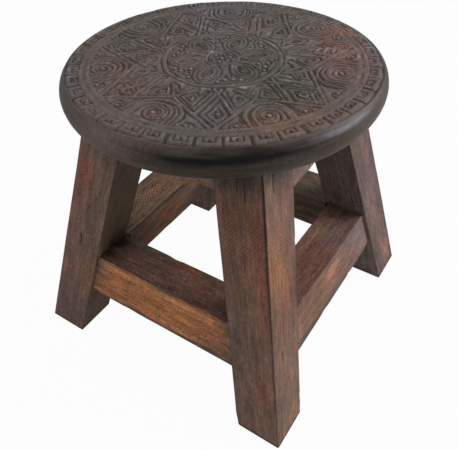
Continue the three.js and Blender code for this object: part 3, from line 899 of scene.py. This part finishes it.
seatGrain = dict(            # cells in a metre along x, y and z, detail and place
    fibres=((110, 560, 330), 4.0),
    specks=((1000, 1000, 1000), 2.0),
    wear=((190, 190, 190), 3.0, (8, 1, 3)),
    turning=((30, 30, 900), 3.0, (4, 4, 1)),
)
seatTones = dict(            # how much each of them lightens or darkens the stain
    base=1.06,
    fibres=1.0,
    specks=1.3,
    wear=0.5,
    turning=0.7,
    grooveShade=0.5,
    rubbedAndGlints=0.8,
    paleRidgeColour="ab9f9a",
    roughness=0.6,
    relief=0.15 * mm,
    gloss=0.2,
)


def seatMaterial():
    # Dark stained wood with painted shade in the grooves, pale where the raised lines are rubbed and
    # where glints are painted on them; the rim is burnished, with faint turning lines. The stain, with
    # its painted highlights, is painted on the points as "tint".
    shader = Shader(bpy.data.materials.new("carved seat wood"))
    place = shader.add("TexCoord", {}, {}, "Object")
    relief = shader.attribute("relief")
    rim = shader.attribute("rim")
    fibres, specks, wear, turning = (shader.grain(place, *kind) for kind in seatGrain.values())
    top = 1 - rim
    # Pale raised lines: partly wear everywhere, and partly painted glints where the painted share is raised
    rubbedAndGlints = shader.ramp(relief, 0.72, 0.97) * (shader.ramp(specks * 0.6 + wear, 0.6, 0.95) * 0.8 + 0.2) * top
    rubbedAndGlints = rubbedAndGlints * (shader.attribute("rubbedAndGlints") + 0.2)
    # Painted shade in the grooves: the deeper the point, the darker
    grooveShade = shader.ramp(relief, 0.6, 0.0)
    tint = shader.attribute("tint", "Vector")
    colour = shader.mix(rubbedAndGlints * seatTones["rubbedAndGlints"], tint, paint(seatTones["paleRidgeColour"]))
    tone = seatTones["base"] + (fibres - 0.5) * seatTones["fibres"]
    tone = tone + (specks - 0.5) * seatTones["specks"] * top + (wear - 0.5) * seatTones["wear"] * top
    tone = (tone + (turning - 0.5) * seatTones["turning"] * rim) * (1 - grooveShade * seatTones["grooveShade"])
    roughness = seatTones["roughness"] - rubbedAndGlints * 0.16 - rim * 0.14 + (specks - 0.5) * 0.12
    height = fibres * (1 - rim * 0.7) + specks * (1 - rim * 0.85) + turning * rim * 0.3
    colour = shader.shade(colour, tone)
    return shader.finish(colour, roughness, height, seatTones["relief"], seatTones["gloss"])


makeSeat(seatMaterial())
print("seat carved")


# Legs, stretchers and rails are sticks: a section with rounded arrises carried along a length.
# In a section, a points away from the stool's middle. For legs b does too, for the other
# sticks it points up. A place on a side is given in millimetres: along the stick, and across
# it from the arris where the other axis is greatest.

stick = dict(
    arcSteps=4,
    sideSteps=34,
    plane=0.04 * mm,         # half the height of the waves that the plane left
    planeSize=(24 * mm, 24 * mm, 60 * mm),
    fibre=0.035 * mm,
    fibreSize=(1.7 * mm, 1.7 * mm, 34 * mm),
    nick=0.8 * mm,           # depth of the deepest bite out of an arris
    nickDepth=(0.4, 1.0),    # of each, against that
    nickReach=(1.4, 3.2),    # from its middle to its edge, in millimetres
    nickLength=(1.0, 3.5),   # the same along the stick, against that
    radiusSize=45 * mm,      # of the swells in an arris's radius
    arrisWidth=(0.4 * mm, 1.5 * mm),    # how far inward the dark of an arris fades
    arrisSize=(6 * mm, 6 * mm, 17 * mm),
    ragged=0.8,
    raggedSize=(9 * mm, 9 * mm, 26 * mm),       # of the bays in a patch's edge
    cloud=0.11,
    cloudSize=(8 * mm, 8 * mm, 19 * mm),
    crackShare=0.93,
    crackDepth=0.6 * mm,     # for each millimetre of a crack's width
    endSize=0.4,             # of the closing ring at an end, against the section
    sides=dict(a=(1, 0), b=(0, 1), minusA=(-1, 0), minusB=(0, -1)),
)


def softSection(halfA, halfB, radii):
    # Points round a rectangle whose four corners are arcs, one row for each row of radii, and
    # their outward directions. Corner k is turned a quarter turn from the last, and the sides
    # between the arcs are shared out evenly.
    signs = [(1, 1), (-1, 1), (-1, -1), (1, -1)]
    spots, facing = [], []
    for k, (a, b) in enumerate(signs):
        angle = np.pi / 2 * (k + np.linspace(0, 1, stick["arcSteps"] + 1))
        middle = np.stack([a * (halfA - radii[:, k]), b * (halfB - radii[:, k])], axis=1)
        ray = rays(angle)
        arc = middle[:, None, :] + radii[:, k][:, None, None] * ray
        after = (k + 1) % 4
        end = np.stack([halfA - radii[:, after], halfB - radii[:, after]], axis=1) * signs[after]
        end = end + radii[:, after][:, None] * ray[-1]
        share = np.linspace(0, 1, stick["sideSteps"] + 1)[1:-1]
        side = arc[:, -1:] + share[:, None] * (end - arc[:, -1])[:, None, :]
        spots += [arc, side]
        facing += [np.broadcast_to(ray, arc.shape), np.broadcast_to(ray[-1], side.shape)]
    return np.concatenate(spots, axis=1), np.concatenate(facing, axis=1)


def sidePlaces(name, local, facing, halfA, halfB):
    # Where points lie on one side, in millimetres along and across, and how squarely they face
    # it, from 0 to 1
    normal = np.array(stick["sides"][name])
    across = halfB - local[:, 1] if normal[0] else halfA - local[:, 0]
    return np.stack([local[:, 2], across], axis=1) / mm, smooth(0.4, 0.8, facing @ normal)


def paintStick(look, seed, local, facing, halfA, halfB):
    # The stain of each point: each side's own, then soft oval patches, some of them painted shade,
    # dark arrises, and cracks. Also how strongly it is dotted, and how far cracks sink it.
    colour = np.tile(linear(look["stain"]), (len(local), 1))
    ragged = stick["ragged"] * noise(seed + 3, local, stick["raggedSize"], 3)
    speckle = np.zeros(len(local))
    sunk = np.zeros(len(local))
    for name, code in look["sides"].items():
        square = sidePlaces(name, local, facing, halfA, halfB)[1]
        colour = colour + square[:, None] * (linear(code) - colour)
    for name, along, across, reachAlong, reachAcross, stain, share in look["patches"]:
        places, square = sidePlaces(name, local, facing, halfA, halfB)
        away = np.sum(((places - (along, across)) / (reachAlong, reachAcross)) ** 2, axis=1)
        cover = share * square * np.exp(-np.maximum(away + ragged, 0))
        if stain == "dots":
            speckle = np.maximum(speckle, cover)
        else:
            colour = blend(colour, cover, stain)
    colour = colour * (1 + stick["cloud"] * noise(seed + 9, local, stick["cloudSize"], 3))[:, None]
    inward = halfA + halfB - np.abs(local[:, 0]) - np.abs(local[:, 1])
    rub = 0.6 + 0.4 * noise(seed + 5, local, stick["arrisSize"], 2)
    onArris = 1 - smooth(*stick["arrisWidth"], inward)
    colour = blend(colour, onArris * np.clip(rub, 0, 1) * look["arris"], "soot")
    for name, line, startWidth, endWidth, stain in look["cracks"]:
        places, square = sidePlaces(name, local, facing, halfA, halfB)
        line = np.array(line, float)
        share = smooth(line[0, 0], line[-1, 0], places[:, 0])
        width = startWidth + (endWidth - startWidth) * share
        gap = nearest(places, [line], 6.0)
        cover = square * (1 - smooth(width * 0.3, width * 0.5 + 0.7, gap))
        colour = blend(colour, cover * stick["crackShare"], stain)
        sunk = np.maximum(sunk, cover * width * stick["crackDepth"])
    return colour, speckle, sunk


def weather(seed, solid, halfA, halfB, nicks):
    # How far each point of a stick lies inside its true surface: the waves of the plane, the
    # fibres, and bites out of the arrises
    waves = stick["plane"] * (1 + noise(seed, solid, stick["planeSize"], 2))
    fibres = stick["fibre"] * (1 + noise(seed + 7, solid, stick["fibreSize"], 2))
    rng = np.random.default_rng(seed)
    bites = np.zeros(len(solid))
    low, high = solid[:, 2].min(), solid[:, 2].max()
    for _ in range(nicks):
        place = np.array([*(rng.choice([-1, 1], 2) * [halfA, halfB]), rng.uniform(low, high)])
        size = np.array([1, 1, rng.uniform(*stick["nickLength"])])
        size = size * rng.uniform(*stick["nickReach"]) * mm
        near = 1 - np.linalg.norm((solid - place) / size, axis=1)
        bites = np.maximum(bites, np.clip(near, 0, 1) * stick["nick"] * rng.uniform(*stick["nickDepth"]))
    return waves + fibres + bites


def cornerRadii(seed, heights, low, high):
    # Radius of each of the four arrises along a stick, wandering between two sizes
    columns = []
    for k in range(4):
        places = np.c_[heights, np.full(len(heights), 7.3 * k), np.zeros(len(heights))]
        wander = 0.5 + 0.5 * noise(seed + 11 * k, places, (stick["radiusSize"], 1, 1), 2)
        columns.append(low + (high - low) * np.clip(wander, 0, 1))
    return np.stack(columns, axis=1)


def grainPlaces(local, seed):
    # Each stick reads its own part of the grain
    return local + np.array([0.37, 0.11, 0.71]) * (seed % 37)


legs = dict(
    rowStep=1.05 * mm,
    arris=(0.4 * mm, 1.3 * mm),
    footEase=(0, 0, 0.02, 0.12, 0.30, 0.55, 0.8),       # heights of the foot's rounding
    footInset=(1, 1, 0.72, 0.42, 0.2, 0.06, 0.01),      # and how far it lies in, both by the ease
    footDark=3.5 * mm,       # height of the dark band round the foot
    footShare=0.75,          # and how strong it is
    footSmooth=6 * mm,       # height in which the wear sets in above the foot
    roundHeight=15 * mm,     # of the part in which the arrises grow rounder to the foot
    pegRadius=10 * mm,
    pegTop=244 * mm,
    top=230.7 * mm,
)


def makeLeg(name, signX, signY, section, look, seed):
    # A square stick whose middle moves inward by the splay as it rises, eased at the foot, cut
    # level at the top, with a round peg above
    half = section / 2
    ease = look["ease"] * mm
    rows = int(legs["top"] / legs["rowStep"])
    heights = np.r_[0, np.array(legs["footEase"]) * ease, np.linspace(ease, legs["top"], rows)]
    inset = np.r_[1, legs["footInset"], np.zeros(rows)] * np.r_[ease, np.full(len(heights) - 1, ease)]
    shrink = np.r_[stick["endSize"], np.ones(len(heights) - 1)]
    radii = cornerRadii(seed, heights, *legs["arris"])
    radii += np.array(look["footRound"]) * mm * (1 - smooth(0, legs["roundHeight"], heights))[:, None]
    spots, facing = softSection(half, half, radii)
    around = spots.shape[1]
    solid = lift(spots, around, heights)
    colour, speckle, cracked = paintStick(look, seed, solid.reshape(-1, 3), facing.reshape(-1, 2), half, half)
    foot = 1 - smooth(legs["footDark"] * 0.3, legs["footDark"], solid[:, :, 2].ravel())
    colour = blend(colour, foot * legs["footShare"], "soot")
    sunk = (weather(seed, solid.reshape(-1, 3), half, half, look["nicks"]) + cracked).reshape(-1, around)
    sunk = sunk * smooth(0, legs["footSmooth"], heights)[:, None] + inset[:, None]
    local = (spots - facing * sunk[:, :, None]) * shrink[:, None, None]

    # the level top, closed in to the peg's circle, and the peg
    angle = np.arctan2(spots[-1][:, 1], spots[-1][:, 0])
    circle = rays(angle) * legs["pegRadius"]
    closing = [0.5 * local[-1] + 0.5 * circle, circle, circle, circle, circle * 0.93, circle * 0.45]
    rise = np.array([0, 0, 0.1, 0.9, 1, 1])
    local = np.concatenate([local, closing])
    heights = np.r_[heights, legs["top"] + rise * (legs["pegTop"] - legs["top"])]
    stand = stool["footSpan"] - half - stool["splay"] * np.minimum(heights, legs["top"])
    world = lift((local + stand[:, None, None]) * [signX, signY], around, heights).reshape(-1, 3)
    base = [signX * stand[0], signY * stand[0], 0]
    peak = [signX * stand[-1], signY * stand[-1], legs["pegTop"]]
    inner = np.r_[[[0, 0, 0]], lift(local, around, heights).reshape(-1, 3), [[0, 0, legs["pegTop"]]]]
    hidden = len(closing) * around + 1
    dark = linear(palette["dark"])
    values = {
        "grain": grainPlaces(inner, seed),
        "tint": np.r_[[dark], colour, np.tile(dark, (hidden, 1))],
        "speckle": np.r_[0, speckle, np.zeros(hidden)],
    }
    faces = loftFaces(len(heights), around)
    if signX * signY < 0:
        faces = [f[:, ::-1] for f in faces]
    points = np.r_[[base], world, [peak]]
    material = woodMaterial(f"{name} wood", look)
    return makePiece(f"{name}_wood", points, faces, values, material, [name])


# Sides: a is a leg's outer x side and b its outer y side. For the others a is the outer side,
# b the top and minusA the side towards the middle.
plainWood = dict(
    contrast=1.0, roughness=0.55, relief=0.2 * mm, gloss=0.35, nicks=8, ease=0.8, flecks=0.25,
    rows=2000, wander=15, arris=0.7, patches=[], cracks=[], footRound=(0.2, 0.3, 0.3, 0.3),
)
legLooks = {
    "leg_front": dict(
        plainWood, stain="6b5448", ease=0.4, flecks=0.3, footRound=(0.1, 1.4, 1.0, 2.4),
        sides=dict(a="7c6052", b="785e50"),
        patches=[
            ("a", 12, 22, 14, 16, "pink", 0.6), ("a", 30, 7, 18, 6, "olive", 0.7),
            ("a", 48, 12, 16, 8, "red", 0.6), ("a", 60, 32, 60, 9, "plum", 0.8),
            ("a", 88, 24, 14, 12, "dark", 0.4), ("a", 122, 16, 22, 14, "olive", 0.6),
            ("a", 162, 8, 50, 9, "red", 1.0), ("a", 155, 30, 36, 12, "umber", 0.6),
            # On side a, the moss at 217 and the soot at 227 are painted shade under the seat
            ("a", 192, 20, 18, 20, "umber", 0.8), ("a", 217, 20, 9, 30, "moss", 0.6),
            ("a", 227, 20, 10, 40, "soot", 0.85), ("a", 180, 16, 24, 16, "dots", 1.3),
            ("a", 166, 34, 30, 9, "dots", 1.1), ("a", 96, 39, 60, 5, "plum", 0.6),
            ("b", 30, 12, 12, 8, "plum", 0.45), ("b", 40, 33, 40, 10, "tan", 0.4),
            ("b", 78, 13, 12, 8, "tan", 0.7), ("b", 60, 28, 10, 8, "pink", 0.7),
            ("b", 112, 26, 28, 18, "red", 0.35), ("b", 140, 22, 60, 30, "umber", 0.28),
            ("b", 8, 24, 12, 20, "tan", 0.9), ("b", 156, 13, 30, 15, "orange", 0.42),
            ("b", 128, 38, 26, 4, "dark", 0.6), ("b", 188, 38, 14, 4, "dark", 0.6),
            # On side b, the dark at 224 is painted shade under the seat
            ("b", 196, 30, 12, 8, "rose", 0.5), ("b", 224, 22, 14, 40, "dark", 0.8),
            ("b", 172, 17, 14, 11, "dots", 1.1), ("b", 215, 8, 7, 5, "tan", 0.8),
        ],
        cracks=[
            ("a", [(230, 1.6), (200, 1.3), (160, 1.5), (120, 1.1), (80, 1.3), (38, 1.0)], 1.5, 0.5, "soot"),
            ("a", [(231, 17), (219, 15.5), (206, 16)], 1.6, 0.8, "soot"),
            ("a", [(231, 23), (222, 21), (212, 21.5)], 1.5, 0.7, "soot"),
            ("a", [(231, 33), (224, 32), (216, 32.5)], 1.0, 0.5, "dark"),
            ("b", [(224, 13), (217, 12), (211, 13)], 1.4, 1.0, "soot"),
            ("b", [(83, 13.5), (76, 14)], 1.5, 1.0, "dark"),
        ],
    ),
    "leg_left": dict(
        plainWood, stain="6b5448",
        sides=dict(a="7b6056", b="735a50", minusB="5e503f"),
        patches=[
            ("a", 20, 20, 34, 30, "plum", 0.8), ("a", 72, 8, 9, 6, "rose", 0.9),
            ("a", 68, 33, 26, 9, "sienna", 0.6), ("a", 130, 8, 34, 8, "rose", 0.5),
            ("a", 170, 9, 26, 10, "red", 0.85), ("a", 178, 29, 24, 8, "olive", 0.6),
            ("a", 120, 28, 26, 12, "plum", 0.3), ("a", 204, 20, 9, 30, "olive", 0.5),
            ("a", 3, 6, 8, 10, "dark", 0.5), ("a", 172, 12, 24, 9, "dots", 1.1),
            # The near-black patch at 100 on minusB is painted shadow in the corner above the stretchers
            ("a", 188, 24, 12, 8, "dots", 0.8), ("minusB", 100, 25, 16, 22, "paintedShadow", 0.95),
            ("minusB", 15, 20, 20, 30, "plum", 0.5), ("minusB", 76, 1, 30, 5, "tan", 1.0),
        ],
        cracks=[("a", [(115, 17), (109, 18.5), (103, 18)], 1.9, 1.6, "soot")],
    ),
    "leg_back": dict(
        plainWood, stain="55463d", ease=2.6, sides=dict(a="765d52", b="7b6253", minusA="84685a"),
        patches=[
            ("a", 150, 12, 40, 12, "red", 0.6), ("a", 40, 26, 30, 14, "plum", 0.7),
            ("b", 120, 22, 40, 16, "sienna", 0.5), ("b", 60, 12, 24, 8, "red", 0.4),
            ("a", 180, 20, 24, 18, "dots", 1.0), ("b", 20, 24, 26, 16, "plum", 0.6),
            ("minusB", 24, 24, 26, 30, "soot", 0.85),
        ],
    ),
    "leg_right": dict(
        plainWood, stain="6b5448", contrast=1.2, flecks=0.35,
        sides=dict(a="775d50", b="5c4947", minusA="605350"),
        patches=[
            ("b", 36, 7, 18, 5, "salmon", 0.6), ("b", 14, 11, 12, 7, "salmon", 0.35),
            ("b", 36, 18, 28, 6, "salmon", 0.35), ("b", 76, 24, 24, 14, "tan", 0.5),
            ("b", 40, 35, 16, 6, "dark", 0.35), ("b", 156, 14, 11, 8, "rose", 0.5),
            ("b", 172, 20, 8, 20, "olive", 0.5), ("b", 112, 22, 26, 18, "pink", 0.4),
            ("b", 30, 14, 34, 14, "dots", 0.9), ("minusA", 18, 20, 24, 40, "grey", 1.0),
            ("minusA", 14, 24, 14, 16, "grey", 0.8), ("minusA", 76, 1, 30, 5, "pink", 1.0),
        ],
    ),
}
corners = {"leg_front": (-1, -1), "leg_left": (-1, 1), "leg_back": (1, 1), "leg_right": (1, -1)}
for number, (name, (signX, signY)) in enumerate(corners.items()):
    section = stool["backLegSection" if name == "leg_back" else "legSection"]
    makeLeg(name, signX, signY, section, legLooks[name], 100 + 20 * number)
print("legs made")


members = dict(
    rowStep=1.1 * mm,
    arris=(0.3 * mm, 1.0 * mm),
    sink=0.8 * mm,           # how far the ends go into the legs
    railSetback=1 * mm,
    railDepth=30 * mm,
)


def makeMember(name, size, ends, quarterTurns, look, seed):
    # A stick along x on the +y side, leaning with the legs' faces, its ends cut to the slope of
    # the two legs' inner faces, and then turned about z by quarter turns
    bottom, top, setback, depth = size
    fromSection, toSection = ends
    halfA, halfB = depth / 2, (top - bottom) / 2
    middle = (top + bottom) / 2
    reach = stool["footSpan"] - stool["splay"] * middle - stool["legSection"]
    count = int(2 * reach / members["rowStep"])
    share = np.r_[0, np.linspace(0, 1, count), 1]
    shrink = np.r_[stick["endSize"], np.ones(count), stick["endSize"]]
    along = (2 * share - 1) * reach
    spots, facing = softSection(halfA, halfB, cornerRadii(seed, along, *members["arris"]))
    around = spots.shape[1]
    solid = lift(spots, around, along).reshape(-1, 3)
    colour, speckle, cracked = paintStick(look, seed, solid, facing.reshape(-1, 2), halfA, halfB)
    sunk = (weather(seed, solid, halfA, halfB, look["nicks"]) + cracked).reshape(-1, around)
    local = (spots - facing * sunk[:, :, None]) * shrink[:, None, None]
    z = middle + local[:, :, 1]
    outer = stool["footSpan"] - stool["splay"] * z
    y = outer - setback - halfA + local[:, :, 0]
    start = -(outer - fromSection + members["sink"])
    x = start + share[:, None] * (outer - toSection + members["sink"] - start)
    cosine, sine = [(1, 0), (0, 1), (-1, 0), (0, -1)][quarterTurns]
    world = np.stack([x * cosine - y * sine, x * sine + y * cosine, z], axis=2)
    inner = lift(local, around, along)
    values = {
        "grain": grainPlaces(np.r_[inner[0, :1], inner.reshape(-1, 3), inner[-1, :1]], seed),
        "tint": np.r_[colour[:1], colour, colour[-1:]],
        "speckle": np.r_[0, speckle, 0],
    }
    points = np.r_[[world[0].mean(0)], world.reshape(-1, 3), [world[-1].mean(0)]]
    faces = [f[:, ::-1] for f in loftFaces(len(share), around)]
    material = woodMaterial(f"{name} wood", look)
    return makePiece(f"{name}_wood", points, faces, values, material, [name])


plainStretcher = dict(plainWood, stain="55463d", nicks=5)
stretcherLooks = {
    "back_left": dict(
        plainStretcher, relief=0.3 * mm, contrast=1.4, rows=1500, wander=10,
        sides=dict(a="8b6550", b="876852", minusA="7b5845"),
        patches=[
            ("b", -15, 24, 55, 24, "dots", 1.9), ("b", 6, 20, 22, 16, "red", 0.4),
            # The soot at -75 on b is painted shadow in the corner at the left leg
            ("b", -40, 26, 20, 16, "olive", 0.4), ("b", -75, 20, 22, 40, "soot", 0.8),
            ("minusA", -5, 18, 24, 18, "red", 0.7), ("minusA", -38, 14, 12, 14, "olive", 0.5),
            # The soot at -70 on minusA is painted shadow in the corner at the left leg
            ("minusA", 20, 24, 12, 12, "olive", 0.4), ("minusA", -70, 18, 16, 30, "soot", 0.7),
            ("b", 45, 22, 18, 30, "dark", 0.7),
        ],
        cracks=[("b", [(-80, 43.0), (-30, 42.8), (22, 42.4)], 1.5, 1.8, "soot")],
    ),
    "front_left": dict(
        plainStretcher, contrast=1.15, flecks=0.7, roughness=0.5,
        sides=dict(a="b0744c", b="6a4e44"),
        patches=[
            ("a", -5, 7, 55, 3.5, "amber", 1.0), ("a", 15, 22, 50, 14, "orange", 0.5),
            ("a", -30, 32, 26, 4, "amber", 0.45), ("a", 0, 0, 95, 3.0, "brown", 0.95),
            ("a", 75, 20, 14, 60, "khaki", 1.0), ("a", -78, 22, 17, 60, "khaki", 1.0),
            ("a", -60, 18, 18, 26, "red", 0.5),
            ("a", -58, 36, 22, 8, "plum", 0.8), ("a", 0, 40, 90, 2.5, "soot", 0.7),
            ("b", -30, 15, 12, 14, "umber", 0.5), ("b", -8, 29, 10, 4, "red", 0.8),
            # The near-black patch at 74 on b is painted shadow in the corner at the left leg
            ("b", 74, 20, 16, 40, "paintedShadow", 0.95), ("b", -56, 14, 16, 20, "brown", 0.5),
            ("a", 0, 20, 80, 18, "dots", 0.7), ("b", 0, 16, 60, 24, "dots", 0.5),
        ],
    ),
    "front_right": dict(
        plainStretcher, flecks=0.45, roughness=0.52,
        sides=dict(a="75584b", b="765446"),
        patches=[
            ("a", 0, 14, 14, 12, "salmon", 0.6), ("a", 38, 14, 26, 14, "sienna", 0.5),
            ("a", -64, 18, 26, 40, "grey", 1.0), ("a", 65, 22, 3, 10, "salmon", 0.45),
            ("a", -25, 30, 22, 9, "red", 0.35), ("a", 0, 39.5, 90, 2.5, "soot", 0.7),
            ("a", 16, 14, 34, 14, "dots", 1.1), ("b", 24, 12, 34, 12, "red", 0.35),
            ("b", -40, 10, 30, 14, "plum", 0.9), ("b", -34, 28, 20, 9, "tan", 0.5),
            ("b", -74, 20, 14, 40, "soot", 0.45), ("b", 10, 2, 80, 2.5, "dark", 0.4),
            ("b", 10, 16, 40, 18, "dots", 0.7),
        ],
    ),
    "back_right": dict(
        plainStretcher, relief=0.3 * mm, contrast=1.5,
        sides=dict(a="7f604e", b="4f4033", minusA="6b5242"),
        patches=[
            ("b", 50, 16, 16, 18, "tan", 0.3), ("b", 45, 22, 20, 18, "dots", 1.6),
            ("minusA", 50, 10, 18, 4, "dark", 0.7), ("minusA", 46, 24, 20, 4, "dark", 0.5),
            ("minusA", 55, 30, 14, 6, "tan", 0.5), ("minusA", 50, 20, 20, 16, "dots", 1.4),
        ],
        cracks=[("b", [(20, 43.2), (50, 43.0), (74, 42.6)], 1.0, 1.2, "dark")],
    ),
}
railLook = dict(
    plainWood, stain="8a6c5f", nicks=4, sides=dict(minusA="6d564a"),
    patches=[("a", 60, 20, 14, 20, "brown", 0.5), ("a", -50, 16, 20, 10, "brown", 0.4)],
)
legSection, backSection = stool["legSection"], stool["backLegSection"]
sideEnds = {                 # sections of the legs that each side runs from and to
    "back_left": (legSection, backSection),
    "front_left": (legSection, legSection),
    "front_right": (legSection, legSection),
    "back_right": (backSection, legSection),
}
stretcherSizes = {           # bottom, top, setback from the legs' outer faces and depth
    "back_left": (53.5, 97.3, 1.4, 45.5),
    "front_left": (56.2, 97.3, 2.9, 35.5),
    "front_right": (56.7, 97.3, 2.9, 35.5),
    "back_right": (56.7, 97.3, 2.9, 44),
}
railBottoms = dict(back_left=200, front_left=205.2, front_right=198.2, back_right=200)
for turns, (side, ends) in enumerate(sideEnds.items()):
    low = [value * mm for value in stretcherSizes[side]]
    high = (railBottoms[side] * mm, legs["top"], members["railSetback"], members["railDepth"])
    seed = 300 + 40 * turns
    makeMember(f"stretcher_{side}", low, ends, turns, stretcherLooks[side], seed)
    makeMember(f"rail_{side}", high, ends, turns, railLook, seed + 20)
print("stretchers and rails made")
